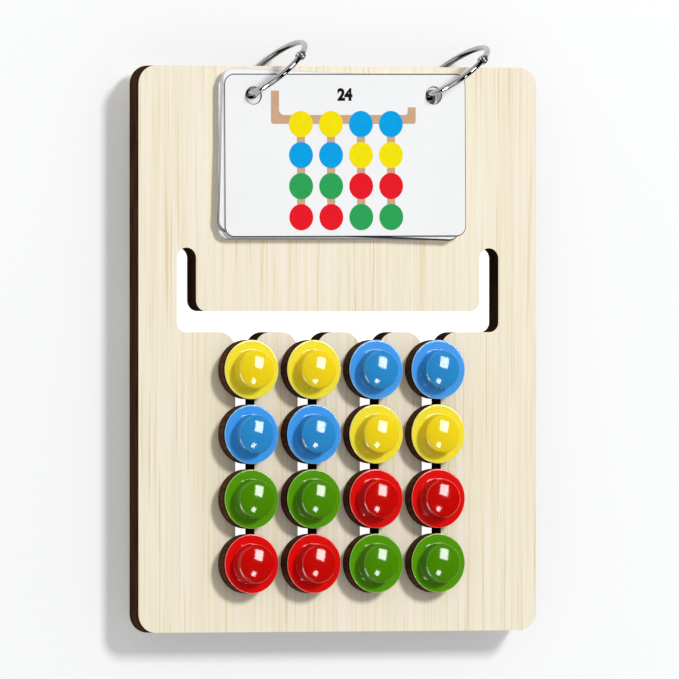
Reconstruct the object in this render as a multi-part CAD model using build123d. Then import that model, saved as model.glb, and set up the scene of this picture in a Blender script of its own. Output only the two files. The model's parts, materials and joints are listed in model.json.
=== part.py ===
"""Dot matching puzzle: a wooden track board, sixteen sliding button sets and pattern cards on two rings.

Units are millimetres and +Z is up. The board lies flat with its pattern side up, and +Y runs from
its bottom edge to the edge that carries the rings. Each piece is drawn with the middle of the board's
bottom edge at x = 0, y = 0, and with the table at z = 0. On export everything moves along Y, so that
the origin is on the table in the middle of the whole object's box.
"""

import math
import os

from build123d import *

# board
BOARD_WIDTH = 163.3
BOARD_LENGTH = 210.0
BOARD_THICK = 8.0
BOARD_CORNER = 7.0

# track, cut right through the board
TRACK_WIDTH = 7.8
CHANNEL_Y = 115.2
ARM_X = 62.1
ARM_LENGTH = 27.4
COLUMN_COUNT = 4
COLUMN_PITCH = 25.53
ROW_COUNT = 4
ROW_PITCH = 24.0
TOP_ROW_DROP = 17.8
NECK_RADIUS = 6.5
INNER_CORNER = 4.0
OUTER_CORNER = 3.7
END_PLAY = 0.25

# button sets: the stem is part of the button, and the disc and the retainer are threaded on it
BUTTON_RADIUS = 11.0
GRIP_RADIUS = 7.4
GRIP_DRAFT = 0.15
FLANGE_THICK = 1.2
FLANGE_ROUND = 0.5
FLANGE_UNDERCUT = 0.9
GRIP_HEIGHT = 5.4
GRIP_ROUND = 0.7
DOME_RADIUS = 24.0
DOME_FLAT = 2.5
STEM_RADIUS = 3.65
STEM_PLAY = 0.05
SOCKET_DEPTH = 2.0
DISC_RADIUS = 11.0
DISC_THICK = 4.8
RETAINER_RADIUS = 9.6
RETAINER_FLANGE = 2.2
RETAINER_GRIP_RADIUS = 7.2
RETAINER_GRIP_HEIGHT = 4.4
RUNNING_GAP = 0.15

# The forty-eight turned pieces have flats for their rounds, as many as their size needs to look round.
BUTTON_FLATS = 20
GRIP_FLATS = 16
DISC_FLATS = 20
RETAINER_FLATS = 12
STEM_FLATS = 10

# cards
CARD_WIDTH = 99.0
CARD_LENGTH = 60.6
CARD_THICK = 0.5
CARD_CORNER = 4.0
CARD_HOLE = 6.4
CARD_HOLE_TO_TOP = 8.1
CARD_HOLES_LEFT = 0.6
CARD_HOLE_FLATS = 12

# rings
RING_PITCH = 74.0
RING_RADIUS = 14.6
WIRE = 2.2
WIRE_FLATS = 8
WIRE_STEP = 12.0
BOARD_HOLE = 6.6
HOLE_TO_EDGE = 9.25
HOLE_TO_CARD_HOLE = 1.45
APEX_OFFSET = 1.7
RING_LIFT = 1.2
LEFT_AZIMUTH = 49.0
RIGHT_AZIMUTH = 53.0
KNUCKLE_ANGLE = 62.0
LUG_RADIUS = 1.8
LUG_THICK = 1.1
LUG_GAP = 0.1
LUG_CLEAR = 0.25
RIVET = 1.2
RIVET_PLAY = 0.03
RIVET_HEAD = 2.4
RIVET_HEAD_THICK = 0.45
RIVET_FLATS = 16
CATCH_LAP = 1.5
CATCH_GAP = 0.12

# How each card lies in the stack, from the board up: shift along X and Y, and turn in degrees.
PACK_LAY = [(-1.4, -1.2, 0.1), (-1.1, -0.9, -0.1), (-1.5, -1.1, 0.1), (-1.2, -1.3, 0.0), (-1.4, -1.0, 0.1)]
CARD_3_LAY = (-0.5, 0.0, -1.9)
CARD_2_LAY = (-0.1, 0.3, -2.0)
FRONT_LAY = (0.4, -0.1, 0.3)

# heights
RETAINER_HEIGHT = RETAINER_FLANGE + RETAINER_GRIP_HEIGHT
BOARD_BACK = RETAINER_HEIGHT + RUNNING_GAP
BOARD_FRONT = BOARD_BACK + BOARD_THICK
DISC_BOTTOM = BOARD_FRONT + RUNNING_GAP
BUTTON_BOTTOM = DISC_BOTTOM + DISC_THICK
RING_CENTRE_Z = BOARD_FRONT + RING_LIFT

# places along the board
TOP_ROW_Y = CHANNEL_Y - TOP_ROW_DROP
ROWS = [TOP_ROW_Y - row * ROW_PITCH for row in range(ROW_COUNT)]
COLUMNS = [(column - (COLUMN_COUNT - 1) / 2) * COLUMN_PITCH for column in range(COLUMN_COUNT)]
COLUMN_END_Y = ROWS[-1] - STEM_RADIUS - END_PLAY + TRACK_WIDTH / 2
HOLE_Y = BOARD_LENGTH - HOLE_TO_EDGE
CARD_HOLE_Y = HOLE_Y - HOLE_TO_CARD_HOLE
RING_ARM = RING_RADIUS - APEX_OFFSET
RINGS = {"left": (-RING_PITCH / 2, LEFT_AZIMUTH), "right": (RING_PITCH / 2, RIGHT_AZIMUTH)}

# The whole object's box runs from the board's bottom edge to the far side of the ring that reaches most.
LEAST_AZIMUTH = math.radians(min(azimuth for _, azimuth in RINGS.values()))
FAR_REACH = HOLE_Y + (RING_ARM + RING_RADIUS) * math.cos(LEAST_AZIMUTH) + WIRE / 2
MIDDLE_Y = FAR_REACH / 2


def flatted(profile, flats):
    """A turned form with flats for its rounds, from (radius, height) stations going up."""
    form = Part()
    for (low, base), (high, top) in zip(profile, profile[1:]):
        taper = math.degrees(math.atan2((low - high) * math.cos(math.pi / flats), top - base))
        form += extrude(Pos(0, 0, base) * RegularPolygon(low, flats), top - base, taper=taper)
    return form


def track():
    """The outline of the cut: a cross channel, an arm up at each end and four columns down."""
    half = TRACK_WIDTH / 2
    arm_top = CHANNEL_Y + ARM_LENGTH - half
    outline = Pos(0, CHANNEL_Y) * Rectangle(2 * ARM_X + TRACK_WIDTH, TRACK_WIDTH)
    for x in (-ARM_X, ARM_X):
        outline += Pos(x, (CHANNEL_Y + arm_top) / 2) * Rectangle(TRACK_WIDTH, arm_top - CHANNEL_Y)
    for x in COLUMNS:
        outline += Pos(x, (CHANNEL_Y + COLUMN_END_Y) / 2) * Rectangle(TRACK_WIDTH, CHANNEL_Y - COLUMN_END_Y)
    for side, radius in ((1, INNER_CORNER), (-1, NECK_RADIUS)):
        corners = [v for v in outline.vertices() if abs(v.Y - CHANNEL_Y - side * half) < 0.01]
        corners = [v for v in corners if abs(v.X) < ARM_X]
        outline = fillet(corners, radius)
    outer = [v for v in outline.vertices() if v.Y < CHANNEL_Y and abs(v.X) > ARM_X + half - 0.01]
    outline = fillet(outer, OUTER_CORNER)
    ends = [(x, arm_top) for x in (-ARM_X, ARM_X)] + [(x, COLUMN_END_Y) for x in COLUMNS]
    for x, y in ends:
        outline += Pos(x, y) * Circle(half)
    return outline


def board():
    """The plywood board with its track and the two ring holes."""
    outline = Pos(0, BOARD_LENGTH / 2) * RectangleRounded(BOARD_WIDTH, BOARD_LENGTH, BOARD_CORNER)
    outline -= track()
    for x, _ in RINGS.values():
        outline -= Pos(x, HOLE_Y) * Circle(BOARD_HOLE / 2)
    return Pos(0, 0, BOARD_BACK) * extrude(outline, BOARD_THICK)


def dome_drop(radius):
    """How far the domed top of a grip has fallen at a radius from its middle."""
    return radius ** 2 / (2 * DOME_RADIUS)


def button():
    """The moulded button: a flange cut back underneath, the domed grip on it and the stem under it."""
    rim = BUTTON_BOTTOM + FLANGE_THICK
    top = rim + GRIP_HEIGHT
    edge = GRIP_RADIUS - GRIP_DRAFT
    stem_end = RETAINER_HEIGHT - SOCKET_DEPTH
    flange = [
        (BUTTON_RADIUS - FLANGE_UNDERCUT, BUTTON_BOTTOM),
        (BUTTON_RADIUS, rim - FLANGE_ROUND),
        (BUTTON_RADIUS - FLANGE_ROUND, rim),
    ]
    grip = [
        (GRIP_RADIUS, rim),
        (edge, top - dome_drop(edge) - GRIP_ROUND),
        (edge - GRIP_ROUND, top - dome_drop(edge - GRIP_ROUND)),
        (DOME_FLAT, top),
    ]
    stem = [(STEM_RADIUS, stem_end), (STEM_RADIUS, BUTTON_BOTTOM)]
    return flatted(flange, BUTTON_FLATS) + flatted(grip, GRIP_FLATS) + flatted(stem, STEM_FLATS)


def disc():
    """The wooden spacer disc that slides on the board's face, bored to go over the stem."""
    rim = [(DISC_RADIUS, DISC_BOTTOM), (DISC_RADIUS, BUTTON_BOTTOM)]
    bore = [(STEM_RADIUS + STEM_PLAY, DISC_BOTTOM), (STEM_RADIUS + STEM_PLAY, BUTTON_BOTTOM)]
    return flatted(rim, DISC_FLATS) - flatted(bore, STEM_FLATS)


def retainer():
    """The button behind the board, which takes the stem's end in its socket and stands on the table."""
    flange = [(RETAINER_RADIUS, RETAINER_GRIP_HEIGHT), (RETAINER_RADIUS, RETAINER_HEIGHT)]
    grip = [
        (RETAINER_GRIP_RADIUS - GRIP_ROUND, 0.0),
        (RETAINER_GRIP_RADIUS, GRIP_ROUND),
        (RETAINER_GRIP_RADIUS, RETAINER_GRIP_HEIGHT),
    ]
    socket = [(STEM_RADIUS, RETAINER_HEIGHT - SOCKET_DEPTH), (STEM_RADIUS, RETAINER_HEIGHT)]
    return flatted(flange, RETAINER_FLATS) + flatted(grip, RETAINER_FLATS) - flatted(socket, STEM_FLATS)


def card(level, lay):
    """One laminated card, on the given level of the stack, with holes punched left of its middle."""
    shift_x, shift_y, turn = lay
    middle = CARD_HOLE_TO_TOP - CARD_LENGTH / 2
    outline = Pos(CARD_HOLES_LEFT, middle) * RectangleRounded(CARD_WIDTH, CARD_LENGTH, CARD_CORNER)
    for x, _ in RINGS.values():
        outline -= Pos(x, 0) * RegularPolygon(CARD_HOLE / 2, CARD_HOLE_FLATS, major_radius=False)
    sheet = extrude(outline, CARD_THICK)
    place = Pos(shift_x, CARD_HOLE_Y + shift_y, BOARD_FRONT + level * CARD_THICK)
    return place * Rot(0, 0, turn) * sheet


def ring_plane(side):
    """The plane of a ring: its origin at the ring's centre, X away from the hole and Y up."""
    x, azimuth = RINGS[side]
    turn = math.radians(azimuth)
    away = Vector(math.sin(turn), math.cos(turn), 0)
    centre = Vector(x, HOLE_Y, RING_CENTRE_Z) + away * RING_ARM
    return Plane(origin=centre, x_dir=away, z_dir=away.cross(Vector(0, 0, 1)))


def wire_arc(start, end):
    """A stretch of the ring's wire in its own plane, between two angles in degrees."""
    steps = max(1, round(abs(end - start) / WIRE_STEP))
    sections = []
    for index in range(steps + 1):
        angle = math.radians(start + (end - start) * index / steps)
        radial = Vector(math.cos(angle), math.sin(angle), 0)
        along = Vector(-math.sin(angle), math.cos(angle), 0)
        section = Plane(origin=radial * RING_RADIUS, x_dir=radial, z_dir=along)
        turned = Rot(0, 0, 180 / WIRE_FLATS) * RegularPolygon(WIRE / 2, WIRE_FLATS)
        sections.append(section * turned)
    return loft(sections, ruled=True)


def ring_half(sense):
    """Half a ring in its own plane: sense 1 is the bow, through the board, and sense -1 the gate."""
    knuckle = Vector(RING_RADIUS, 0, 0).rotate(Axis.Z, KNUCKLE_ANGLE)
    clear = math.degrees((LUG_RADIUS + LUG_CLEAR) / RING_RADIUS)
    lap = math.degrees(CATCH_LAP / 2 / RING_RADIUS)
    gap = math.degrees(CATCH_GAP / RING_RADIUS)
    start = KNUCKLE_ANGLE + sense * clear
    stop = KNUCKLE_ANGLE + sense * (180 - lap - gap)
    tip = KNUCKLE_ANGLE + sense * (180 + lap)
    cheek = Pos(0, 0, sense * (LUG_GAP + LUG_THICK) / 2) * Box(3 * RING_RADIUS, 3 * RING_RADIUS, LUG_THICK)
    neck = wire_arc(KNUCKLE_ANGLE, start) & cheek
    lug = Pos(knuckle.X, knuckle.Y, sense * (LUG_GAP + LUG_THICK) / 2) * Cylinder(LUG_RADIUS, LUG_THICK)
    bore = RIVET / 2 + (RIVET_PLAY if sense < 0 else 0)
    inner = Cylinder(RING_RADIUS - CATCH_GAP / 2, 2 * WIRE)
    outer = Cylinder(RING_RADIUS + WIRE, 2 * WIRE) - Cylinder(RING_RADIUS + CATCH_GAP / 2, 2 * WIRE)
    catch = wire_arc(stop, tip) & (inner if sense > 0 else outer)
    half = wire_arc(start, stop) + neck + lug + catch
    return half - Pos(knuckle.X, knuckle.Y, 0) * Cylinder(bore, 4 * LUG_THICK)


def ring_rivet():
    """The rivet through the two lugs, with a head on each side, in the ring's own plane."""
    knuckle = Vector(RING_RADIUS, 0, 0).rotate(Axis.Z, KNUCKLE_ANGLE)
    face = LUG_GAP / 2 + LUG_THICK
    pin = flatted([(RIVET / 2, -face), (RIVET / 2, face)], RIVET_FLATS)
    head = flatted([(RIVET_HEAD / 2, face), (RIVET_HEAD / 2, face + RIVET_HEAD_THICK)], RIVET_FLATS)
    return Pos(knuckle.X, knuckle.Y, 0) * (pin + head + head.mirror(Plane.XY))


def pieces():
    """Every node of the object by name, drawn from the board's bottom edge."""
    found = {"board": board()}
    shapes = {"button": button(), "disc": disc(), "retainer": retainer()}
    for row, y in enumerate(ROWS, start=1):
        for column, x in enumerate(COLUMNS, start=1):
            for kind, shape in shapes.items():
                found[f"{kind}_r{row}c{column}"] = Pos(x, y) * shape
    for side in RINGS:
        plane = ring_plane(side)
        found[f"ring_{side}_bow"] = plane * ring_half(1)
        found[f"ring_{side}_gate"] = plane * ring_half(-1)
        found[f"ring_{side}_rivet"] = plane * ring_rivet()
    count = len(PACK_LAY)
    found["card_pack"] = Compound([card(level, lay) for level, lay in enumerate(PACK_LAY)])
    found["card_3"] = card(count, CARD_3_LAY)
    found["card_2"] = card(count + 1, CARD_2_LAY)
    found["card_front"] = card(count + 2, FRONT_LAY)
    return found


def main():
    """Write one STEP file for each node."""
    os.makedirs("parts", exist_ok=True)
    for name, shape in pieces().items():
        export_step(Pos(0, -MIDDLE_Y) * shape, f"parts/{name}.step")


if __name__ == "__main__":
    main()
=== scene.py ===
# The looks of the dot matching puzzle: a plywood track board, sliding buttons and pattern cards on two rings.
# Everything is in metres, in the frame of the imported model: +Z up, +Y towards the edge with the rings.
import json
import math

import bmesh
import bpy
from mathutils import Matrix, Vector

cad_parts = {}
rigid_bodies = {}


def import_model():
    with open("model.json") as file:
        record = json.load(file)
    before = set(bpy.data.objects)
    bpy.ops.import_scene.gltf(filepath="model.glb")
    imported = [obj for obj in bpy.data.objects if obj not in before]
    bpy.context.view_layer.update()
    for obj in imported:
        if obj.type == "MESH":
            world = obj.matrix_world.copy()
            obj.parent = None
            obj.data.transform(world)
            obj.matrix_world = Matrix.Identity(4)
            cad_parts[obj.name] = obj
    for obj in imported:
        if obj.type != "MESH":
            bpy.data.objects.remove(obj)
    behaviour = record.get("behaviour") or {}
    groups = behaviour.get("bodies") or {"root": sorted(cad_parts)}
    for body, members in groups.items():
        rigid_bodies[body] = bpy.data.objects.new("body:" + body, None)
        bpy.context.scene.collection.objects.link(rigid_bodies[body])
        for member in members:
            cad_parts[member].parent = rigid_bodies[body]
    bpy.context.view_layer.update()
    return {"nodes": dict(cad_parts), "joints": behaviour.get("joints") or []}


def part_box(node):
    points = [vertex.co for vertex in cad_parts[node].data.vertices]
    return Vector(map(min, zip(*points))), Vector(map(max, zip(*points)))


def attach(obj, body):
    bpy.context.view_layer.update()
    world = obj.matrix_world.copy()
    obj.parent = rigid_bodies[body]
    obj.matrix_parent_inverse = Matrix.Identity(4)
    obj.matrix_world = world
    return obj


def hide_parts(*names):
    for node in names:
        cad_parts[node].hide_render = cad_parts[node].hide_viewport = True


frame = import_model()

MM = 0.001
COLOURS = ("yellow", "blue", "green", "red")
BUTTON_ROWS = (
    ("yellow", "yellow", "blue", "blue"),
    ("blue", "blue", "yellow", "yellow"),
    ("green", "green", "red", "red"),
    ("red", "red", "green", "green"),
)

# buttons: heights and the outer radius come from the boxes of the CAD nodes
FLANGE_THICK = 1.2 * MM
FLANGE_UNDERCUT = 0.9 * MM
FLANGE_LIP = 0.85 * MM
LIP_ROUND = 0.12 * MM
RIM_ROUND = 0.28 * MM
GRIP_RADIUS = 7.4 * MM
GRIP_DRAFT = 0.15 * MM
GRIP_FOOT = 0.12 * MM
GRIP_SHOULDER = 1.2 * MM
DOME_RADIUS = 24.0 * MM
DOME_START = 1.5 * MM
DOME_STEPS = 12
STEM_RADIUS = 3.6 * MM
STEM_ROUND = 0.3 * MM
STEM_PLAY = 0.1 * MM
DISC_ROUND = 0.12 * MM
BACK_GRIP_RADIUS = 7.2 * MM
BACK_FLANGE = 2.2 * MM
SOCKET_DEPTH = 2.0 * MM
TURNED_STEPS = 72
ARC_STEPS = 5

# colours of the plastic by height: the grip's above the flange's top; the flange below it painted paler as a
# painted glow, and the rim's rounding paler still as a painted highlight
DEEP_START = 0.1 * MM
DEEP_FULL = 1.0 * MM
RIM_FADE = 0.6 * RIM_ROUND
RIM_STOP = 0.01 * MM

# cards
CARD_CORNER = 4.0 * MM
CARD_CORNER_STEPS = 10
CARD_HOLE_RADIUS = 3.2 * MM
CARD_HOLE_SIDES = 48
CARD_HOLE_TO_TOP = 8.1 * MM
CARD_RIM = 0.4 * MM
CARD_LIP = 0.08 * MM
CARD_GAP = 0.01 * MM
CARD_THICK = 0.5 * MM
CARD_HOLES_LEFT = 0.6 * MM
# share of the rim's width that is left at the card's two sides, which keeps the painted shade line thinner
# there
SIDE_LINE = 0.7
# where the painted shade line on the cards under the front one fades to pale, below the holes
FADE_START = 45.0 * MM
FADE_END = 10.0 * MM
CARD_WIDTH = 99.0 * MM
CARD_LENGTH = 60.6 * MM
HOLE_TO_CARD_HOLE = 1.45 * MM
# each card's lay: shift in X and Y in mm and turn in degrees, about the middle of the line between the holes
PACK_LAY = (
    (-1.4, -1.2, 0.1), (-1.1, -0.9, -0.1), (-1.5, -1.1, 0.1), (-1.2, -1.3, 0.0), (-1.4, -1.0, 0.1),
)
CARD_LAYS = {
    "card_front": (0.4, -0.1, 0.3),
    "card_2": (-0.1, 0.3, -2.0),
    "card_3": (-0.5, 0.0, -1.9),
}

# rings, with their angles in degrees
RING_RADIUS = 14.6 * MM
WIRE_RADIUS = 1.1 * MM
WIRE_SIDES = 24
WIRE_STEP = 3.0
KNUCKLE_ANGLE = 62.0
LUG_RADIUS = 1.8 * MM
LUG_THICK = 1.1 * MM
LUG_GAP = 0.1 * MM
LUG_CLEAR = 0.25 * MM
LUG_INNER_ROUND = 0.05 * MM
LUG_OUTER_ROUND = 0.2 * MM
LUG_STEPS = 36
RIVET_HEAD = 1.2 * MM
RIVET_RISE = 0.45 * MM
RIVET_ROUND = 0.35 * MM
RIVET_STEPS = 24
RIVET_PLAY = 0.02 * MM
CATCH_LAP = 1.5 * MM
CATCH_GAP = 0.12 * MM

# the printed puzzle, about the line between the card's holes
DOT_PITCH_X = 12.32 * MM
DOT_PITCH_Y = 11.53 * MM
DOT_RADIUS = 4.88 * MM
DOT_SIDES = 48
FIRST_DOT_X = -17.7 * MM
FIRST_DOT_Y = -10.6 * MM
INK = 0.03 * MM
BAR_Y = -8.9 * MM
LINE_WIDTH = 3.3 * MM
ARM_LEFT = -29.9 * MM
ARM_RIGHT = 29.5 * MM
ARM_LEFT_TOP = 1.8 * MM
ARM_RIGHT_TOP = -4.4 * MM
BAR_CORNER = 1.0 * MM
ARM_CORNER = 2.0 * MM
BRANCH_CORNER = 0.3 * MM
NUMERAL_SIZE = 6.0 * MM
NUMERAL_BOLD = 0.3 * MM
NUMERAL_X = 0.4 * MM
NUMERAL_Y = -1.7 * MM
FRONT_NUMBER = "24"
SECOND_NUMBER = "25"

# the studio: floor, lamps, drapes and camera
FLOOR_SIZE = 60.0
FLOOR_SEGMENTS = 8
FLOOR_GLOW = 0.225
# glow of the patches of painted light under the board's slots
SLOT_GLOW = 0.75
# each patch of painted light on the floor, glowing under the board where the slots show it: its span in X and
# its span in Y
SLOT_FLOOR = (
    ((-47 * MM, 53 * MM), (-88 * MM, 12 * MM)),
    ((-70 * MM, 76 * MM), (-3 * MM, 36 * MM)),
)
SLOT_FLOOR_EDGE = 3.0 * MM
KEY_DIRECTION = (0.38, 0.48, 0.79)
KEY_DISTANCE = 4.0
KEY_SIZE = (0.69, 0.85)
KEY_POWER = 103.0
FILL_STRENGTH = 0.45
SOFTBOX_DISTANCE = 1.5
SOFTBOX_RADIANCE = 16.0
# each softbox: name, direction, width and height in degrees, and roll in degrees
SOFTBOXES = (
    ("high_softbox", (0.453, 0.184, 0.89), (15.0, 17.0), -18.0),
    ("front_softbox", (0.272, -0.332, 0.903), (7.5, 7.0), -28.0),
    ("side_softbox", (-0.67, -0.64, 0.37), (15.0, 40.0), 0.0),
)
DRAPE_DISTANCE = 3.0
DRAPE_STEPS = 8
# each drape: name, then lower and upper height, bearing of the start and sweep round, all in degrees
DRAPES = (
    ("skyline", 0.0, 24.0, 0.0, 360.0),
    ("ceiling", 57.0, 90.0, 0.0, 360.0),
    ("right", 24.0, 57.0, -75.0, 150.0),
)
CAMERA_BACK = Vector((-0.4258, 0.0, 0.905)).normalized()
CAMERA_DISTANCE = 7.01
CAMERA_SENSOR = 36.0
CAMERA_LENS = 1000.0
CAMERA_TARGET = Vector((0.497, -1.396, 14.75)) * MM
CAMERA_REACH = 100.0

# meshes: vertices nearer than the merge distance become one, and edges past the crease angle stay sharp
MERGE = 0.002 * MM
SLIVER = 0.001 * MM
CREASE = 35.0


def colour(code):
    """An sRGB hex code as the linear colour that a shader takes."""
    parts = [int(code[i:i + 2], 16) / 255 for i in (1, 3, 5)]
    return tuple(p / 12.92 if p <= 0.04045 else ((p + 0.055) / 1.055) ** 2.4 for p in parts) + (1.0,)


def add(tree, kind, inputs=None, stops=(), **settings):
    """Add a node: inputs are its sockets' values or the sockets they come from, and settings are its own.

    The stops of a colour ramp are pairs of a place and a hex code.
    """
    node = tree.nodes.new(kind)
    for name, value in settings.items():
        setattr(node, name, value)
    for name, value in (inputs or {}).items():
        if isinstance(value, bpy.types.NodeSocket):
            tree.links.new(value, node.inputs[name])
        else:
            node.inputs[name].default_value = value
    for index, (place, code) in enumerate(stops):
        elements = node.color_ramp.elements
        element = elements[index] if index < 2 else elements.new(place)
        element.position = place
        element.color = colour(code)
    return node


def material(name):
    """A new material with its tree and its main shader."""
    made = bpy.data.materials.new(name)
    made.use_nodes = True
    return made, made.node_tree, made.node_tree.nodes["Principled BSDF"]


def birch_plywood():
    """Sanded birch plywood, laser cut: pale faces with straight fine grain, and walls burnt dark brown."""
    made, tree, shader = material("birch_plywood_laser_cut")
    place = add(tree, "ShaderNodeTexCoord").outputs["Object"]
    normal = add(tree, "ShaderNodeTexCoord").outputs["Normal"]
    # Rotary-cut birch shows streaks about 1.6 mm wide and 110 mm long, broader bands about 9 mm wide, and
    # fine pores about 0.7 mm wide. The layers of ply show on the cut walls as lines about 1.1 mm apart.
    streak = add(tree, "ShaderNodeMapping", {"Vector": place, "Scale": (620.0, 9.0, 9.0)},
                 vector_type="POINT")
    fine = add(tree, "ShaderNodeTexNoise", {"Vector": streak.outputs[0], "Scale": 1.0, "Detail": 3.0})
    band = add(tree, "ShaderNodeMapping", {"Vector": place, "Scale": (110.0, 4.0, 4.0)},
               vector_type="POINT")
    broad = add(tree, "ShaderNodeTexNoise", {"Vector": band.outputs[0], "Scale": 1.0, "Detail": 2.0})
    pore = add(tree, "ShaderNodeMapping", {"Vector": place, "Scale": (1500.0, 14.0, 14.0)},
               vector_type="POINT")
    pores = add(tree, "ShaderNodeTexNoise", {"Vector": pore.outputs[0], "Scale": 1.0, "Detail": 2.0})
    fine_tone = add(tree, "ShaderNodeValToRGB", {"Fac": fine.outputs["Fac"]},
                    ((0.33, "#EFE3BF"), (0.5, "#F7EDD4"), (0.64, "#FCF3E3"))).outputs["Color"]
    broad_tone = add(tree, "ShaderNodeValToRGB", {"Fac": broad.outputs["Fac"]},
                     ((0.3, "#F5F0D8"), (0.7, "#FBEFE1"))).outputs["Color"]
    grain = add(tree, "ShaderNodeMix", {0: 0.45, 6: fine_tone, 7: broad_tone},
                data_type="RGBA").outputs[2]
    pore_tone = add(tree, "ShaderNodeValToRGB", {"Fac": pores.outputs["Fac"]},
                    ((0.3, "#E6D9B4"), (0.42, "#FFFFFF"))).outputs["Color"]
    face = add(tree, "ShaderNodeMix", {0: 0.7, 6: grain, 7: pore_tone}, data_type="RGBA",
               blend_type="MULTIPLY").outputs[2]
    ply = add(tree, "ShaderNodeMapping", {"Vector": place, "Scale": (60.0, 60.0, 900.0)},
              vector_type="POINT")
    layers = add(tree, "ShaderNodeTexNoise", {"Vector": ply.outputs[0], "Scale": 1.0, "Detail": 3.0})
    char = add(tree, "ShaderNodeValToRGB", {"Fac": layers.outputs["Fac"]},
               ((0.35, "#38261A"), (0.65, "#553A29"))).outputs["Color"]
    up = add(tree, "ShaderNodeSeparateXYZ", {"Vector": normal}).outputs["Z"]
    facing = add(tree, "ShaderNodeMath", {0: up}, operation="ABSOLUTE").outputs[0]
    is_face = add(tree, "ShaderNodeMath", {0: facing, 1: 0.5}, operation="GREATER_THAN").outputs[0]
    paint = add(tree, "ShaderNodeMix", {0: is_face, 6: char, 7: face}, data_type="RGBA").outputs[2]
    bump = add(tree, "ShaderNodeBump",
               {"Height": fine.outputs["Fac"], "Strength": 0.15, "Distance": 0.05 * MM})
    tree.links.new(paint, shader.inputs["Base Color"])
    tree.links.new(bump.outputs[0], shader.inputs["Normal"])
    shader.inputs["Roughness"].default_value = 0.62
    shader.inputs["Specular IOR Level"].default_value = 0.0
    return made


def charred_birch():
    """A laser-cut birch disc: brown char with faint upright streaks on its edge, and its top face painted
    near black, a painted shade under the button's flange.
    """
    made, tree, shader = material("charred_birch_edge")
    place = add(tree, "ShaderNodeTexCoord").outputs["Object"]
    # the laser leaves a streak about every millimetre, right up the edge
    stretch = add(tree, "ShaderNodeMapping", {"Vector": place, "Scale": (900.0, 900.0, 120.0)},
                  vector_type="POINT")
    soot = add(tree, "ShaderNodeTexNoise", {"Vector": stretch.outputs[0], "Scale": 1.0, "Detail": 3.0})
    edge = add(tree, "ShaderNodeValToRGB", {"Fac": soot.outputs["Fac"]},
               ((0.3, "#463024"), (0.7, "#664736"))).outputs["Color"]
    # the top face is painted near black: painted shade in the gap under the button's flange
    normal = add(tree, "ShaderNodeTexCoord").outputs["Normal"]
    up = add(tree, "ShaderNodeSeparateXYZ", {"Vector": normal}).outputs["Z"]
    painted_shade_top = add(tree, "ShaderNodeMapRange", {"Value": up, "From Min": 0.2, "From Max": 0.8}).outputs["Result"]
    paint = add(tree, "ShaderNodeMix", {0: painted_shade_top, 6: edge, 7: colour("#120B07")},
                data_type="RGBA").outputs[2]
    bump = add(tree, "ShaderNodeBump",
               {"Height": soot.outputs["Fac"], "Strength": 0.3, "Distance": 0.05 * MM})
    tree.links.new(paint, shader.inputs["Base Color"])
    tree.links.new(bump.outputs[0], shader.inputs["Normal"])
    shader.inputs["Roughness"].default_value = 0.75
    shader.inputs["Specular IOR Level"].default_value = 0.0
    return made


def moulded_abs(name, grip_code, flange_glow_code, rim_highlight_code):
    """Glossy injection-moulded ABS: strong colour, crisp reflections and light inside it, with the flange
    painted paler than the grip as a painted glow and the rim paler still as a painted highlight.
    """
    made, tree, shader = material(f"moulded_abs_{name}")
    place = add(tree, "ShaderNodeTexCoord").outputs["Object"]
    height = add(tree, "ShaderNodeSeparateXYZ", {"Vector": place}).outputs["Z"]
    # below the grip the flange takes the paler flange colour: a painted glow of light through the thin
    # plastic
    solid = add(tree, "ShaderNodeMapRange",
                {"Value": height, "From Min": flange_top + DEEP_START, "From Max": flange_top + DEEP_FULL},
                interpolation_type="SMOOTHSTEP").outputs["Result"]
    # flow marks of the pigment, about 6 mm across
    swirl = add(tree, "ShaderNodeTexNoise", {"Vector": place, "Scale": 160.0, "Detail": 2.0})
    drift = add(tree, "ShaderNodeMath", {0: swirl.outputs["Fac"], 1: 0.16, 2: -0.08},
                operation="MULTIPLY_ADD").outputs[0]
    depth = add(tree, "ShaderNodeMath", {0: solid, 1: drift}, operation="ADD").outputs[0]
    bulk = add(tree, "ShaderNodeValToRGB", {"Fac": depth},
               ((0.0, flange_glow_code), (1.0, grip_code))).outputs["Color"]
    # the rim's rounding just below the flange's top takes the paler rim colour: a painted highlight
    above = add(tree, "ShaderNodeMapRange", {"Value": height, "From Min": flange_top - RIM_ROUND,
                                             "From Max": flange_top - RIM_FADE}).outputs["Result"]
    below = add(tree, "ShaderNodeMath", {0: height, 1: flange_top - RIM_STOP},
                operation="LESS_THAN").outputs[0]
    rim = add(tree, "ShaderNodeMath", {0: above, 1: below}, operation="MULTIPLY").outputs[0]
    paint = add(tree, "ShaderNodeMix", {0: rim, 6: bulk, 7: colour(rim_highlight_code)},
                data_type="RGBA").outputs[2]
    # the polished mould's faint ripple, about a millimetre across
    peel = add(tree, "ShaderNodeTexNoise", {"Vector": place, "Scale": 900.0, "Detail": 1.0})
    bump = add(tree, "ShaderNodeBump",
               {"Height": peel.outputs["Fac"], "Strength": 0.05, "Distance": 0.02 * MM})
    tree.links.new(paint, shader.inputs["Base Color"])
    tree.links.new(bump.outputs[0], shader.inputs["Normal"])
    shader.inputs["Roughness"].default_value = 0.08
    shader.inputs["IOR"].default_value = 1.54
    shader.inputs["Subsurface Weight"].default_value = 0.3
    shader.inputs["Subsurface Radius"].default_value = (1.0, 1.0, 1.0)
    shader.inputs["Subsurface Scale"].default_value = 1.5 * MM
    return made


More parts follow.
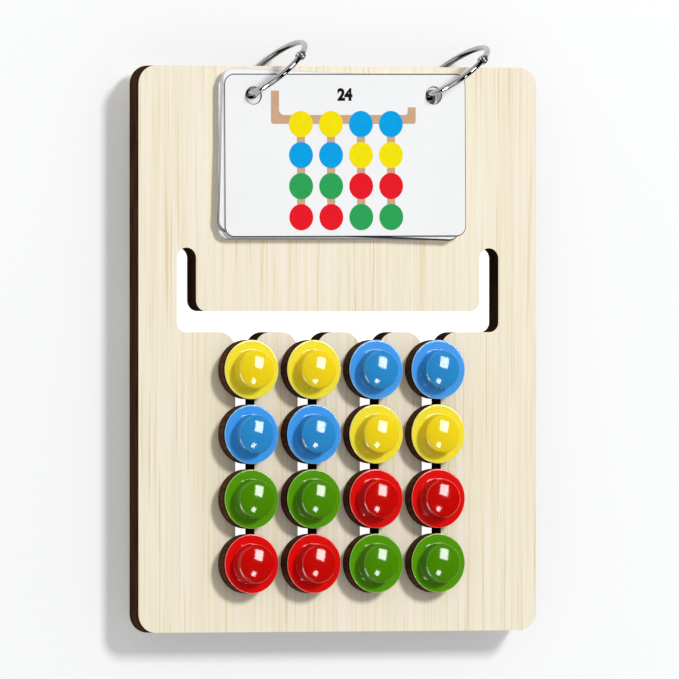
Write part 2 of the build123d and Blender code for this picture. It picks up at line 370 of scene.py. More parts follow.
def laminated_card():
    """White card in a clear laminate: near white, half glossy, with the slight waviness of hot pressing."""
    made, tree, shader = material("laminated_card")
    place = add(tree, "ShaderNodeTexCoord").outputs["Object"]
    # hot pressing leaves waves about 29 mm long
    cloud = add(tree, "ShaderNodeTexNoise", {"Vector": place, "Scale": 35.0, "Detail": 2.0})
    paint = add(tree, "ShaderNodeValToRGB", {"Fac": cloud.outputs["Fac"]},
                ((0.35, "#F9FAFB"), (0.65, "#FCFDFE"))).outputs["Color"]
    bump = add(tree, "ShaderNodeBump",
               {"Height": cloud.outputs["Fac"], "Strength": 0.2, "Distance": 0.2 * MM})
    tree.links.new(paint, shader.inputs["Base Color"])
    tree.links.new(bump.outputs[0], shader.inputs["Normal"])
    shader.inputs["Roughness"].default_value = 0.3
    shader.inputs["IOR"].default_value = 1.5
    return made


def cut_laminate_edge(name, light, dark, fades=False):
    """The trimmed edge of the laminate: milky on the cut itself, and a thin line of painted shade round the
    face and in the holes.

    On the cards under the front one the painted shade line fades to pale towards the holes, near the card's
    top.
    """
    made, tree, shader = material(f"laminate_{name}")
    place = add(tree, "ShaderNodeTexCoord").outputs["Object"]
    grit = add(tree, "ShaderNodeTexNoise", {"Vector": place, "Scale": 700.0, "Detail": 1.0})
    paint = add(tree, "ShaderNodeValToRGB", {"Fac": grit.outputs["Fac"]},
                ((0.3, dark), (0.7, light))).outputs["Color"]
    if fades:
        # towards the holes the painted shade line fades to a pale grey
        height = add(tree, "ShaderNodeSeparateXYZ", {"Vector": place}).outputs["Y"]
        near = add(tree, "ShaderNodeMapRange", {"Value": height, "From Min": card_hole_y - FADE_START,
                                                "From Max": card_hole_y - FADE_END}).outputs["Result"]
        paint = add(tree, "ShaderNodeMix", {0: near, 6: paint, 7: colour("#E2E3E5")},
                    data_type="RGBA").outputs[2]
    tree.links.new(paint, shader.inputs["Base Color"])
    shader.inputs["Roughness"].default_value = 0.4
    return made


def printed_ink(name, code, deep):
    """Printed ink under laminate: a flat colour with the faint mottle of toner."""
    made, tree, shader = material(f"printed_ink_{name}")
    place = add(tree, "ShaderNodeTexCoord").outputs["Object"]
    mottle = add(tree, "ShaderNodeTexNoise", {"Vector": place, "Scale": 420.0, "Detail": 2.0})
    paint = add(tree, "ShaderNodeValToRGB", {"Fac": mottle.outputs["Fac"]},
                ((0.35, deep), (0.65, code))).outputs["Color"]
    tree.links.new(paint, shader.inputs["Base Color"])
    shader.inputs["Roughness"].default_value = 0.3
    shader.inputs["Specular IOR Level"].default_value = 0.15
    return made


def bare_metal(name, dark, light, roughness):
    """Metal with faint draw marks: mirror-like on the plated wire, duller on the pressed lugs."""
    made, tree, shader = material(name)
    place = add(tree, "ShaderNodeTexCoord").outputs["Object"]
    marks = add(tree, "ShaderNodeTexNoise", {"Vector": place, "Scale": 1500.0, "Detail": 2.0})
    paint = add(tree, "ShaderNodeValToRGB", {"Fac": marks.outputs["Fac"]},
                ((0.3, dark), (0.7, light))).outputs["Color"]
    tree.links.new(paint, shader.inputs["Base Color"])
    bump = add(tree, "ShaderNodeBump",
               {"Height": marks.outputs["Fac"], "Strength": 0.04, "Distance": 0.02 * MM})
    tree.links.new(bump.outputs[0], shader.inputs["Normal"])
    shader.inputs["Metallic"].default_value = 1.0
    shader.inputs["Roughness"].default_value = roughness
    return made


def black_velvet():
    """The studio's black drapes, which give shiny metal and plastic something dark to reflect."""
    made, tree, shader = material("black_velvet_drape")
    place = add(tree, "ShaderNodeTexCoord").outputs["Object"]
    folds = add(tree, "ShaderNodeTexNoise", {"Vector": place, "Scale": 2.0})
    paint = add(tree, "ShaderNodeValToRGB", {"Fac": folds.outputs["Fac"]},
                ((0.3, "#0A0A0A"), (0.7, "#141414"))).outputs["Color"]
    tree.links.new(paint, shader.inputs["Base Color"])
    shader.inputs["Roughness"].default_value = 1.0
    shader.inputs["Specular IOR Level"].default_value = 0.0
    return made


def geometry_tree(name, sizes):
    """A modifier tree with geometry in and out and the named inputs, and its two end nodes."""
    tree = bpy.data.node_groups.new(name, "GeometryNodeTree")
    tree.interface.new_socket("Geometry", in_out="INPUT", socket_type="NodeSocketGeometry")
    tree.interface.new_socket("Geometry", in_out="OUTPUT", socket_type="NodeSocketGeometry")
    for label, kind in sizes:
        tree.interface.new_socket(label, in_out="INPUT", socket_type=kind)
    return tree, add(tree, "NodeGroupInput"), add(tree, "NodeGroupOutput")


def turning_tree():
    """Turns the section that comes in, drawn in X and Z, about the Z axis through the stated angles."""
    sizes = (("Steps", "NodeSocketInt"), ("Start", "NodeSocketFloat"), ("Sweep", "NodeSocketFloat"),
             ("Material", "NodeSocketMaterial"))
    tree, start, end = geometry_tree("turned_section", sizes)
    size = add(tree, "GeometryNodeAttributeDomainSize", {"Geometry": start.outputs["Geometry"]})
    count = size.outputs["Point Count"]
    across = add(tree, "ShaderNodeMath", {0: start.outputs["Steps"], 1: 1.0}, operation="ADD").outputs[0]
    grid = add(tree, "GeometryNodeMeshGrid", {"Vertices X": across, "Vertices Y": count})
    uv = add(tree, "ShaderNodeSeparateXYZ", {"Vector": grid.outputs["UV Map"]})
    last = add(tree, "ShaderNodeMath", {0: count, 1: 1.0}, operation="SUBTRACT").outputs[0]
    row = add(tree, "ShaderNodeMath", {0: uv.outputs["Y"], 1: last}, operation="MULTIPLY").outputs[0]
    index = add(tree, "FunctionNodeFloatToInt", {"Float": row}, rounding_mode="ROUND").outputs[0]
    point = add(tree, "GeometryNodeInputPosition").outputs[0]
    section = add(tree, "GeometryNodeSampleIndex",
                  {"Geometry": start.outputs["Geometry"], "Value": point, "Index": index},
                  data_type="FLOAT_VECTOR")
    angle = add(tree, "ShaderNodeMath",
                {0: uv.outputs["X"], 1: start.outputs["Sweep"], 2: start.outputs["Start"]},
                operation="MULTIPLY_ADD").outputs[0]
    swung = add(tree, "ShaderNodeVectorRotate", {"Vector": section.outputs[0], "Angle": angle},
                rotation_type="Z_AXIS")
    bent = add(tree, "GeometryNodeSetPosition",
               {"Geometry": grid.outputs["Mesh"], "Position": swung.outputs[0]})
    smooth = add(tree, "GeometryNodeSetShadeSmooth", {"Geometry": bent.outputs[0]})
    real = add(tree, "GeometryNodeRealizeInstances", {"Geometry": smooth.outputs[0]})
    finished = add(tree, "GeometryNodeSetMaterial",
                   {"Geometry": real.outputs[0], "Material": start.outputs["Material"]})
    tree.links.new(finished.outputs[0], end.inputs["Geometry"])
    return tree


def dots_tree():
    """Prints a round dot on each point that comes in."""
    sizes = (("Dot radius", "NodeSocketFloat"), ("Ink depth", "NodeSocketFloat"),
             ("Material", "NodeSocketMaterial"))
    tree, start, end = geometry_tree("printed_dots", sizes)
    dot = add(tree, "GeometryNodeMeshCylinder",
              {"Vertices": DOT_SIDES, "Radius": start.outputs["Dot radius"],
               "Depth": start.outputs["Ink depth"]})
    spread = add(tree, "GeometryNodeInstanceOnPoints",
                 {"Points": start.outputs["Geometry"], "Instance": dot.outputs["Mesh"]})
    real = add(tree, "GeometryNodeRealizeInstances", {"Geometry": spread.outputs[0]})
    inked = add(tree, "GeometryNodeSetMaterial",
                {"Geometry": real.outputs[0], "Material": start.outputs["Material"]})
    tree.links.new(inked.outputs[0], end.inputs["Geometry"])
    return tree


def linked(name, data):
    """A new object in the scene."""
    made = bpy.data.objects.new(name, data)
    bpy.context.scene.collection.objects.link(made)
    return made


def plain_mesh(holder):
    """The mesh that an object comes to with its modifiers; the object itself goes."""
    graph = bpy.context.evaluated_depsgraph_get()
    made = bpy.data.meshes.new_from_object(holder.evaluated_get(graph), depsgraph=graph)
    bpy.data.objects.remove(holder)
    return made


def grown(tree, source, **sizes):
    """The plain mesh that a tree makes from the source mesh, with its named inputs set."""
    holder = linked("holder", source)
    modifier = holder.modifiers.new("tree", "NODES")
    modifier.node_group = tree
    for item in tree.interface.items_tree:
        label = item.name.replace(" ", "_").lower()
        if item.in_out == "INPUT" and label in sizes:
            modifier[item.identifier] = sizes[label]
    return plain_mesh(holder)


def rounded(corners, closed=False, steps=ARC_STEPS):
    """The points of straight runs between corners, each (x, y, radius), with the corners turned as arcs."""
    points = []
    for index, (x, y, radius) in enumerate(corners):
        here = Vector((x, y))
        if radius == 0 or (not closed and index in (0, len(corners) - 1)):
            points.append(here)
            continue
        before = (Vector(corners[index - 1][:2]) - here).normalized()
        after = (Vector(corners[(index + 1) % len(corners)][:2]) - here).normalized()
        half = before.angle(after) / 2
        middle = here + (before + after).normalized() * radius / math.sin(half)
        first = here + before * radius / math.tan(half) - middle
        last = here + after * radius / math.tan(half) - middle
        begin = math.atan2(first.y, first.x)
        swing = math.remainder(math.atan2(last.y, last.x) - begin, 2 * math.pi)
        for step in range(steps + 1):
            angle = begin + swing * step / steps
            points.append(middle + Vector((math.cos(angle), math.sin(angle))) * radius)
    return points


def section_mesh(points, closed=False):
    """A chain of edges through the (radius, height) points."""
    chain = list(points) + ([points[0]] if closed else [])
    made = bpy.data.meshes.new("section")
    made.from_pydata([(p[0], 0.0, p[1]) for p in chain], [(i, i + 1) for i in range(len(chain) - 1)], [])
    return made


def tidied(mesh, move=None):
    """The mesh moved, with doubles merged, open ends closed and faces turned outwards."""
    work = bmesh.new()
    work.from_mesh(mesh)
    if move:
        bmesh.ops.transform(work, matrix=move, verts=work.verts)
    bmesh.ops.remove_doubles(work, verts=work.verts, dist=MERGE)
    bmesh.ops.dissolve_degenerate(work, edges=work.edges, dist=SLIVER)
    rims = [edge for edge in work.edges if edge.is_boundary]
    bmesh.ops.holes_fill(work, edges=rims)
    bmesh.ops.recalc_face_normals(work, faces=work.faces)
    work.to_mesh(mesh)
    work.free()
    mesh.set_sharp_from_angle(angle=math.radians(CREASE))
    return mesh


def turned(points, finish, closed=False, move=None, steps=TURNED_STEPS, start=0.0, sweep=2 * math.pi):
    """A turned mesh from (radius, height) points, in one finish."""
    source = section_mesh(points, closed)
    return tidied(grown(turning, source, steps=steps, start=start, sweep=sweep, material=finish), move)


def shown(name, meshes, body, nodes):
    """One piece from its meshes, riding on a body, standing for CAD nodes and finished with its meshes'
    materials.
    """
    work = bmesh.new()
    finishes = []
    for mesh in meshes:
        offset = []
        for finish in mesh.materials:
            if finish not in finishes:
                finishes.append(finish)
            offset.append(finishes.index(finish))
        known = len(work.faces)
        work.from_mesh(mesh)
        work.faces.ensure_lookup_table()
        for face in work.faces[known:]:
            face.material_index = offset[min(face.material_index, len(offset) - 1)]
    whole = bpy.data.meshes.new(name)
    work.to_mesh(whole)
    work.free()
    for finish in finishes:
        whole.materials.append(finish)
    piece = linked(name, whole)
    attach(piece, body)
    if nodes:
        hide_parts(*nodes)


def layered(levels, finishes, bands=None, hole=0):
    """A flat sheet from levels, each (height, loops), filled at the first and last in the first finish.

    The walls of the outline, the first loop, take the finish that bands gives for each step between
    levels, and those of the holes take the finish called hole.
    """
    work = bmesh.new()
    tiers = []
    for height, loops in levels:
        tiers.append([[work.verts.new((p[0], p[1], height)) for p in loop] for loop in loops])
    for band, (lower, upper) in enumerate(zip(tiers, tiers[1:])):
        for index, (low, high) in enumerate(zip(lower, upper)):
            for i in range(len(low)):
                j = (i + 1) % len(low)
                wall = work.faces.new((low[i], low[j], high[j], high[i]))
                wall.material_index = hole if index else (bands[band] if bands else 0)
    for tier in (tiers[0], tiers[-1]):
        edges = [work.edges.get((loop[i], loop[(i + 1) % len(loop)]))
                 for loop in tier for i in range(len(loop))]
        bmesh.ops.triangle_fill(work, use_beauty=True, use_dissolve=False, edges=edges)
    bmesh.ops.recalc_face_normals(work, faces=work.faces)
    made = bpy.data.meshes.new("sheet")
    work.to_mesh(made)
    work.free()
    for finish in finishes:
        made.materials.append(finish)
    return made


def circle(x, y, radius, count):
    """Points round a circle."""
    angles = [2 * math.pi * i / count for i in range(count)]
    return [(x + radius * math.cos(a), y + radius * math.sin(a)) for a in angles]


def button_profile(bottom, flange_bottom, top, radius):
    """Half the button's section: stem, flange cut back underneath, and domed grip with a soft shoulder."""
    rim = flange_bottom + FLANGE_THICK
    edge = GRIP_RADIUS - GRIP_DRAFT
    shoulder = top - edge ** 2 / (2 * DOME_RADIUS)
    corners = [
        (0.0, bottom, 0.0),
        (STEM_RADIUS, bottom, STEM_ROUND),
        (STEM_RADIUS, flange_bottom, 0.0),
        (radius - FLANGE_UNDERCUT, flange_bottom, 0.0),
        (radius, flange_bottom + FLANGE_LIP, LIP_ROUND),
        (radius, rim, RIM_ROUND),
        (radius - 2 * RIM_ROUND, rim, 0.0),
        (GRIP_RADIUS + 2 * GRIP_FOOT, rim, 0.0),
        (GRIP_RADIUS, rim, GRIP_FOOT),
        (edge, shoulder, GRIP_SHOULDER),
    ]
    for step in range(DOME_STEPS + 1):
        reach = (edge - DOME_START) * (1 - step / DOME_STEPS)
        corners.append((reach, top - reach ** 2 / (2 * DOME_RADIUS), 0.0))
    return rounded(corners)


def retainer_profile(bottom, top, radius):
    """Half the back button's section: round grip down, flange up, and the socket for the stem."""
    flange = top - BACK_FLANGE
    socket = STEM_RADIUS + STEM_PLAY / 2
    return rounded([
        (0.0, bottom, 0.0),
        (BACK_GRIP_RADIUS, bottom, GRIP_SHOULDER),
        (BACK_GRIP_RADIUS, flange, GRIP_FOOT),
        (radius, flange, RIM_ROUND),
        (radius, top, RIM_ROUND),
        (socket, top, 0.0),
        (socket, top - SOCKET_DEPTH, 0.0),
        (0.0, top - SOCKET_DEPTH, 0.0),
    ])


def button_sets():
    """Sixteen sets, each a button in front, a wooden disc under it and a retainer behind the board."""
    for row, names in enumerate(BUTTON_ROWS, start=1):
        for column, name in enumerate(names, start=1):
            key = f"r{row}c{column}"
            low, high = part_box(f"button_{key}")
            disc_low, disc_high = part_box(f"disc_{key}")
            back_low, back_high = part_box(f"retainer_{key}")
            centre = Matrix.Translation(((low.x + high.x) / 2, (low.y + high.y) / 2, 0))
            radius = (high.x - low.x) / 2
            body = f"knob_{key}"
            profile = button_profile(low.z, disc_high.z, high.z, radius)
            front = turned(profile, abs_finish[name], move=centre)
            shown(f"front_{body}", [front], body, [f"button_{key}"])
            bore = STEM_RADIUS + STEM_PLAY
            ring = rounded([
                (bore, disc_low.z, 0.0), (radius, disc_low.z, DISC_ROUND),
                (radius, disc_high.z, DISC_ROUND), (bore, disc_high.z, 0.0),
            ])
            spacer = turned(ring, charred, closed=True, move=centre)
            shown(f"spacer_{body}", [spacer], body, [f"disc_{key}"])
            back_radius = (back_high.x - back_low.x) / 2
            profile = retainer_profile(back_low.z, back_high.z, back_radius)
            back = turned(profile, abs_finish[name], move=centre)
            shown(f"back_{body}", [back], body, [f"retainer_{key}"])


def card_mesh(place, line):
    """One card about the middle of the line between its holes, with the finish of the line, a painted shade,
    round its face and in its holes.
    """
    def loops(inset):
        left, right = (CARD_HOLES_LEFT + side * (CARD_WIDTH / 2 - inset * SIDE_LINE) for side in (-1, 1))
        top = CARD_HOLE_TO_TOP - inset
        bottom = CARD_HOLE_TO_TOP - CARD_LENGTH + inset
        corner = CARD_CORNER - inset
        corners = [(right, top, corner), (left, top, corner), (left, bottom, corner), (right, bottom, corner)]
        outline = rounded(corners, closed=True, steps=CARD_CORNER_STEPS)
        return [outline] + [circle(x, 0, CARD_HOLE_RADIUS + inset / 2, CARD_HOLE_SIDES)
                            for x in (-ring_half_pitch, ring_half_pitch)]

    levels = [
        (CARD_GAP, loops(CARD_LIP)), (CARD_LIP, loops(0.0)), (CARD_THICK - CARD_LIP, loops(0.0)),
        (CARD_THICK, loops(CARD_RIM)),
    ]
    # the line's finish goes on the slope round the face and on the hole walls: painted shade
    made = layered(levels, [laminate, milky_edge, line], bands=(1, 1, 2), hole=2)
    made.transform(place)
    return made


def card_place(level, lay):
    """Where a card lies in the stack."""
    shift = Matrix.Translation((lay[0] * MM, card_hole_y + lay[1] * MM, board_front + level * CARD_THICK))
    return shift @ Matrix.Rotation(math.radians(lay[2]), 4, "Z")


def track_print():
    """The outline of the printed track: a bar with two arms up and four lines down."""
    half = LINE_WIDTH / 2
    low, high = BAR_Y - half, BAR_Y + half
    last = FIRST_DOT_Y - 3 * DOT_PITCH_Y
    corners = [(ARM_LEFT, ARM_LEFT_TOP, 0.0), (ARM_LEFT, low, BAR_CORNER)]
    for column in range(4):
        x = FIRST_DOT_X + column * DOT_PITCH_X
        corners += [
            (x - half, low, BRANCH_CORNER), (x - half, last, 0.0),
            (x + half, last, 0.0), (x + half, low, BRANCH_CORNER),
        ]
    corners += [
        (ARM_RIGHT, low, BAR_CORNER), (ARM_RIGHT, ARM_RIGHT_TOP, 0.0),
        (ARM_RIGHT - LINE_WIDTH, ARM_RIGHT_TOP, 0.0), (ARM_RIGHT - LINE_WIDTH, high, BAR_CORNER),
        (ARM_LEFT + LINE_WIDTH, high, ARM_CORNER), (ARM_LEFT + LINE_WIDTH, ARM_LEFT_TOP, 0.0),
    ]
    return rounded(corners, closed=True)


def numeral(text):
    """A plain printed number, in the middle above the bar."""
    line = bpy.data.curves.new("numeral", "FONT")
    line.body = text
    line.size = NUMERAL_SIZE
    line.align_x = "CENTER"
    line.extrude = INK / 2
    line.offset = NUMERAL_BOLD
    made = plain_mesh(linked("numeral", line))
    made.transform(Matrix.Translation((NUMERAL_X, NUMERAL_Y, CARD_THICK + INK / 2)))
    made.materials.clear()
    made.materials.append(inks["black"])
    return tidied(made)


def print_on(card, body, place, rows, text):
    """The printed puzzle on a card: the track, the dots in their colours and the card's number."""
    outline = track_print()
    track = layered([(CARD_THICK - INK, [outline]), (CARD_THICK + INK, [outline])], [inks["tan"]])
    track.transform(place)
    number = numeral(text)
    number.transform(place)
    meshes = [track, number]
    for name in COLOURS:
        spots = [(FIRST_DOT_X + column * DOT_PITCH_X, FIRST_DOT_Y - row * DOT_PITCH_Y, CARD_THICK + INK)
                 for row in range(4) for column in range(4) if rows[row][column] == name]
        points = bpy.data.meshes.new("spots")
        points.from_pydata(spots, [], [])
        dots = grown(dotted, points, dot_radius=DOT_RADIUS, ink_depth=2 * INK, material=inks[name])
        dots.transform(place)
        meshes.append(dots)
    shown(f"print_of_{card}", meshes, body, [])


def cards():
    """The stack of cards and the front card, each with its print where it can be seen."""
    # the pack's cards take the faint line of painted shade
    pack = [card_mesh(card_place(level, lay), faint_line) for level, lay in enumerate(PACK_LAY)]
    shown("lower_cards", pack, "card_stack", ["card_pack"])
    places = {}
    # each top card's line is painted shade: fading on the two under the front card, dark on the front one
    top_cards = (
        ("card_3", "card_stack", fading_line),
        ("card_2", "card_stack", fading_line),
        ("card_front", "front_card", dark_line),
    )
    for level, (name, body, line) in enumerate(top_cards, start=len(PACK_LAY)):
        places[name] = card_place(level, CARD_LAYS[name])
        shown(f"laminated_{name}", [card_mesh(places[name], line)], body, [name])
    print_on("card_front", "front_card", places["card_front"], BUTTON_ROWS, FRONT_NUMBER)
    second = (BUTTON_ROWS[2], BUTTON_ROWS[0], BUTTON_ROWS[3], BUTTON_ROWS[1])
    print_on("card_2", "card_stack", places["card_2"], second, SECOND_NUMBER)


def wire_section(part):
    """The wire's round section, or the part of it that a half lap keeps."""
    keep = {
        "whole": lambda x, z: (x, z),
        "inner": lambda x, z: (min(x, -CATCH_GAP / 2), z),
        "outer": lambda x, z: (max(x, CATCH_GAP / 2), z),
        "front": lambda x, z: (x, max(z, LUG_GAP / 2)),
        "back": lambda x, z: (x, min(z, -LUG_GAP / 2)),
    }[part]
    points = [keep(x, z) for x, z in circle(0, 0, WIRE_RADIUS, WIRE_SIDES)]
    return [(RING_RADIUS + x, z) for x, z in points]


def bent_wire(part, start, end):
    """A stretch of the wire between two angles in degrees, in the ring's own plane."""
    steps = max(2, round(abs(end - start) / WIRE_STEP))
    return turned(wire_section(part), chrome, closed=True, steps=steps, start=math.radians(start),
                  sweep=math.radians(end - start))


def ring_half(sense):
    """Half a ring in its own plane: sense 1 is the bow through the board and sense -1 the gate."""
    clear = math.degrees((LUG_RADIUS + LUG_CLEAR) / RING_RADIUS)
    lap = math.degrees(CATCH_LAP / 2 / RING_RADIUS)
    gap = math.degrees(CATCH_GAP / RING_RADIUS)
    start = KNUCKLE_ANGLE + sense * clear
    stop = KNUCKLE_ANGLE + sense * (180 - lap - gap)
    tip = KNUCKLE_ANGLE + sense * (180 + lap)
    side = "front" if sense > 0 else "back"
    near, far = LUG_GAP / 2, LUG_GAP / 2 + LUG_THICK
    plate = rounded([
        (0.0, near, 0.0), (LUG_RADIUS, near, LUG_INNER_ROUND),
        (LUG_RADIUS, far, LUG_OUTER_ROUND), (0.0, far, 0.0),
    ])
    place = knuckle_place() @ Matrix.Diagonal((1, 1, sense, 1))
    lug = turned(plate, pressed_steel, move=place, steps=LUG_STEPS)
    return [
        bent_wire("whole", start, stop),
        bent_wire(side, KNUCKLE_ANGLE, start),
        bent_wire("inner" if sense > 0 else "outer", stop, tip),
        lug,
    ]


def knuckle_place():
    """The knuckle's place in the ring's own plane."""
    angle = math.radians(KNUCKLE_ANGLE)
    return Matrix.Translation((RING_RADIUS * math.cos(angle), RING_RADIUS * math.sin(angle), 0))


def rivet():
    """The rivet through the knuckle with a low domed head on each side."""
    head = rounded([
        (0.0, 0.0, 0.0), (RIVET_HEAD, 0.0, 0.0),
        (RIVET_HEAD, RIVET_RISE, RIVET_ROUND), (0.0, RIVET_RISE, 0.0),
    ])
    made = []
    for sense, play in ((-1, RIVET_PLAY), (1, 0.0)):
        face = Matrix.Translation((0, 0, LUG_GAP / 2 + LUG_THICK + play))
        place = knuckle_place() @ Matrix.Diagonal((1, 1, sense, 1)) @ face
        made.append(turned(head, chrome, move=place, steps=RIVET_STEPS))
    return made


def rings():
    """The two loose-leaf rings, placed by the hinge of each gate."""
    for side in ("left", "right"):
        hinge = joints[f"gate_{side}_open"]
        across = Vector(hinge["axis"]).normalized()
        up = Vector((0, 0, 1))
        away = up.cross(across)
        turn = Matrix((away, up, across)).transposed().to_4x4()
        centre = Vector(hinge["pos_m"]) - turn @ knuckle_place().translation
        place = Matrix.Translation(centre) @ turn
        parts = (("bow", ring_half(1), f"ring_{side}"), ("gate", ring_half(-1), f"gate_{side}"),
                 ("rivet", rivet(), f"ring_{side}"))
        for part, meshes, body in parts:
            for mesh in meshes:
                mesh.transform(place)
            shown(f"{side}_ring_{part}", meshes, body, [f"ring_{side}_{part}"])


def seen_rays(tree):
    """1 for rays from the camera and for those that come by a reflection or through something clear."""
    path = add(tree, "ShaderNodeLightPath")
    seen = add(tree, "ShaderNodeMath", {0: path.outputs["Is Camera Ray"], 1: path.outputs["Is Glossy Ray"]},
               operation="MAXIMUM").outputs[0]
    clear = path.outputs["Is Transmission Ray"]
    return add(tree, "ShaderNodeMath", {0: seen, 1: clear}, operation="MAXIMUM").outputs[0]


def staged(name, mesh):
    """An object of the studio, not of the puzzle."""
    made = linked(name, mesh)
    return made


def studio_floor():
    """The pale sweep under the puzzle, with patches of painted light glowing under the board, which the slots
    of the track show.
    """
    made, tree, shader = material("pale_paper_sweep")
    place = add(tree, "ShaderNodeTexCoord").outputs["Object"]
    fibre = add(tree, "ShaderNodeTexNoise", {"Vector": place, "Scale": 3.0, "Detail": 2.0})
    paint = add(tree, "ShaderNodeValToRGB", {"Fac": fibre.outputs["Fac"]},
                ((0.3, "#E2E3E4"), (0.7, "#E4E5E6"))).outputs["Color"]
    tree.links.new(paint, shader.inputs["Base Color"])
    shader.inputs["Roughness"].default_value = 0.9
    shader.inputs["Specular IOR Level"].default_value = 0.0
    along = add(tree, "ShaderNodeSeparateXYZ", {"Vector": place})
    # patches of painted light: the floor under the slots glows as if lit, where the board's shade falls
    patches = []
    for spans in SLOT_FLOOR:
        patch = seen_rays(tree)
        for axis, span in zip("XY", spans):
            for edge, inward in zip(span, (1, -1)):
                limits = {"Value": along.outputs[axis], "From Min": edge,
                          "From Max": edge + inward * SLOT_FLOOR_EDGE}
                inside = add(tree, "ShaderNodeMapRange", limits,
                             interpolation_type="SMOOTHSTEP").outputs["Result"]
                patch = add(tree, "ShaderNodeMath", {0: patch, 1: inside}, operation="MULTIPLY").outputs[0]
        patches.append(patch)
    patch = add(tree, "ShaderNodeMath", dict(enumerate(patches)), operation="MAXIMUM").outputs[0]
    base = add(tree, "ShaderNodeMath", {0: seen_rays(tree), 1: FLOOR_GLOW}, operation="MULTIPLY").outputs[0]
    glow = add(tree, "ShaderNodeMath", {0: patch, 1: SLOT_GLOW, 2: base}, operation="MULTIPLY_ADD").outputs[0]
    tree.links.new(glow, shader.inputs["Emission Strength"])
    shader.inputs["Emission Color"].default_value = colour("#FFFFFF")
    work = bmesh.new()
    bmesh.ops.create_grid(work, x_segments=FLOOR_SEGMENTS, y_segments=FLOOR_SEGMENTS, size=FLOOR_SIZE / 2)
    sheet = bpy.data.meshes.new("floor")
    work.to_mesh(sheet)
    work.free()
    sheet.materials.append(made)
    staged("floor", sheet)


def studio_world():
    """White to the camera and in reflections, and a softer even light on the object."""
    world = bpy.data.worlds.new("studio")
    bpy.context.scene.world = world
    world.use_nodes = True
    tree = world.node_tree
    tree.nodes.clear()
    fill = add(tree, "ShaderNodeBackground", {"Color": colour("#FFFFFF"), "Strength": FILL_STRENGTH})
    white = add(tree, "ShaderNodeBackground", {"Color": colour("#FFFFFF"), "Strength": 1.0})
    both = add(tree, "ShaderNodeMixShader", {0: seen_rays(tree), 1: fill.outputs[0], 2: white.outputs[0]})
    add(tree, "ShaderNodeOutputWorld", {"Surface": both.outputs[0]})


def drapes():
    """Black drapes overhead, along the skyline and on the right, which only reflections see."""
    for name, low, high, start, sweep in DRAPES:
        angles = [math.radians(low + (high - low) * step / DRAPE_STEPS) for step in range(DRAPE_STEPS + 1)]
        arc = [(DRAPE_DISTANCE * math.cos(a), DRAPE_DISTANCE * math.sin(a)) for a in angles]
        sheet = grown(turning, section_mesh(arc), steps=TURNED_STEPS, start=math.radians(start),
                      sweep=math.radians(sweep), material=velvet)
        drape = staged(f"{name}_drape", sheet)
        drape.visible_camera = False
        drape.visible_diffuse = False
        drape.visible_transmission = False
        drape.visible_shadow = False


def lamp(name, direction, distance, size, power, roll=0.0):
    """A rectangular soft lamp that points at the board's middle, its second side along Y before a roll."""
    data = bpy.data.lights.new(name, "AREA")
    data.shape = "RECTANGLE"
    data.size, data.size_y = size
    data.energy = power
    back = Vector(direction).normalized()
    across = Vector((0, 1, 0)).cross(back).normalized()
    made = linked(name, data)
    turn = turned_to(across, back) @ Matrix.Rotation(math.radians(roll), 4, "Z")
    made.matrix_world = Matrix.Translation(back * distance) @ turn
    return made


def turned_to(across, back):
    """The turn of a lamp or camera whose X runs across and whose back faces the given way."""
    return Matrix((across, back.cross(across), back)).transposed().to_4x4()


def lamps():
    """The key that lights the surfaces, and the softboxes that the plastic and the chrome reflect."""
    key = lamp("key", KEY_DIRECTION, KEY_DISTANCE, KEY_SIZE, KEY_POWER)
    key.visible_glossy = False
    shiny = bpy.data.collections.new("shiny_pieces")
    for piece in bpy.context.scene.objects:
        if "_knob_" in piece.name or "_ring_" in piece.name:
            shiny.objects.link(piece)
    for name, direction, spans, roll in SOFTBOXES:
        size = [2 * SOFTBOX_DISTANCE * math.tan(math.radians(span) / 2) for span in spans]
        power = SOFTBOX_RADIANCE * math.pi * size[0] * size[1]
        softbox = lamp(name, direction, SOFTBOX_DISTANCE, size, power, roll)
        softbox.visible_diffuse = False
        softbox.light_linking.receiver_collection = shiny


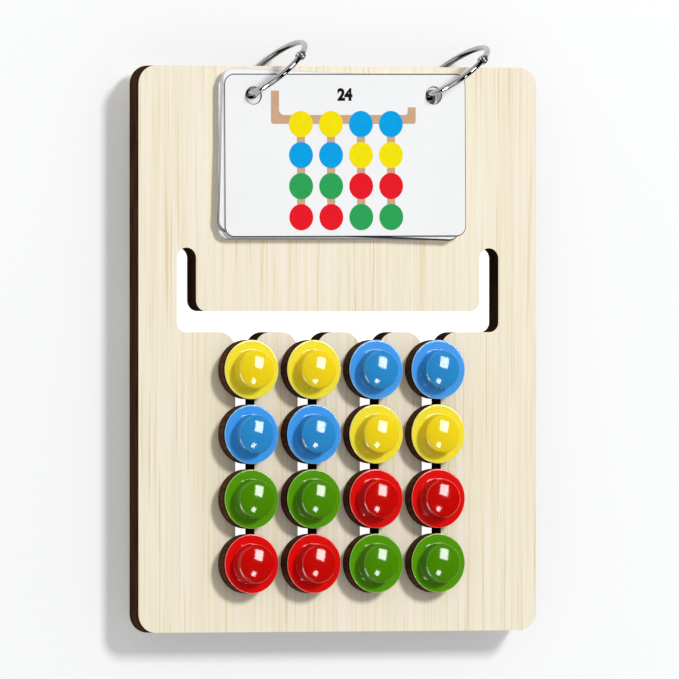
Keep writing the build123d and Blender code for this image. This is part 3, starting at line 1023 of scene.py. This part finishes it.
def camera():
    """A long lens, square to the board's length and tilted along its width, as the photograph was framed."""
    data = bpy.data.cameras.new("camera")
    data.sensor_width = CAMERA_SENSOR
    data.lens = CAMERA_LENS
    data.clip_end = CAMERA_REACH
    made = linked("camera", data)
    turn = turned_to(Vector((0, 1, 0)).cross(CAMERA_BACK), CAMERA_BACK)
    made.matrix_world = Matrix.Translation(CAMERA_TARGET + CAMERA_BACK * CAMERA_DISTANCE) @ turn
    bpy.context.scene.camera = made


board = frame["nodes"]["board"]
board_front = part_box("board")[1].z
flange_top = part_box("disc_r1c1")[1].z + FLANGE_THICK
joints = {joint["name"]: joint for joint in frame["joints"]}
ring_half_pitch, ring_hole_y = joints["ring_right_swivel"]["pos_m"][:2]
card_hole_y = ring_hole_y - HOLE_TO_CARD_HOLE

plywood = birch_plywood()
charred = charred_birch()
# each plastic: grip colour, flange colour painted paler as a painted glow, and rim colour painted paler still
# as a painted highlight
abs_finish = {
    "yellow": moulded_abs("yellow", "#F8DA1C", "#FFEA38", "#FFF9A8"),
    "blue": moulded_abs("blue", "#2E90D2", "#46A4F6", "#9CD0FF"),
    "green": moulded_abs("green", "#4E8E05", "#5AA00A", "#A4D060"),
    "red": moulded_abs("red", "#CC0A06", "#E60D0C", "#FF7A6A"),
}
laminate = laminated_card()
milky_edge = cut_laminate_edge("milky_edge", "#FDFDFD", "#F6F7F8")
# the lines are painted shade round the cards' faces and in their holes
faint_line = cut_laminate_edge("faint_line", "#C9CACD", "#B4B5B9")
dark_line = cut_laminate_edge("dark_line", "#303134", "#18191B")
fading_line = cut_laminate_edge("fading_line", "#4A4B4E", "#2C2D30", fades=True)
inks = {
    "yellow": printed_ink("yellow", "#FCEA05", "#F7E504"),
    "blue": printed_ink("blue", "#04A7EE", "#03A2E9"),
    "green": printed_ink("green", "#30AA5C", "#2DA659"),
    "red": printed_ink("red", "#F11A29", "#EC1827"),
    "tan": printed_ink("tan", "#D6AE8E", "#D0A887"),
    "black": printed_ink("black", "#161616", "#1C1C1C"),
}
chrome = bare_metal("chrome_plated_steel_wire", "#ACACB0", "#BEBEC1", 0.05)
pressed_steel = bare_metal("pressed_steel_lug", "#6A6A6C", "#7C7C7E", 0.3)
velvet = black_velvet()
turning = turning_tree()
dotted = dots_tree()

board.data.materials.clear()
board.data.materials.append(plywood)
button_sets()
cards()
rings()
studio_floor()
studio_world()
drapes()
lamps()
camera()
bpy.context.scene.view_settings.view_transform = "Standard"
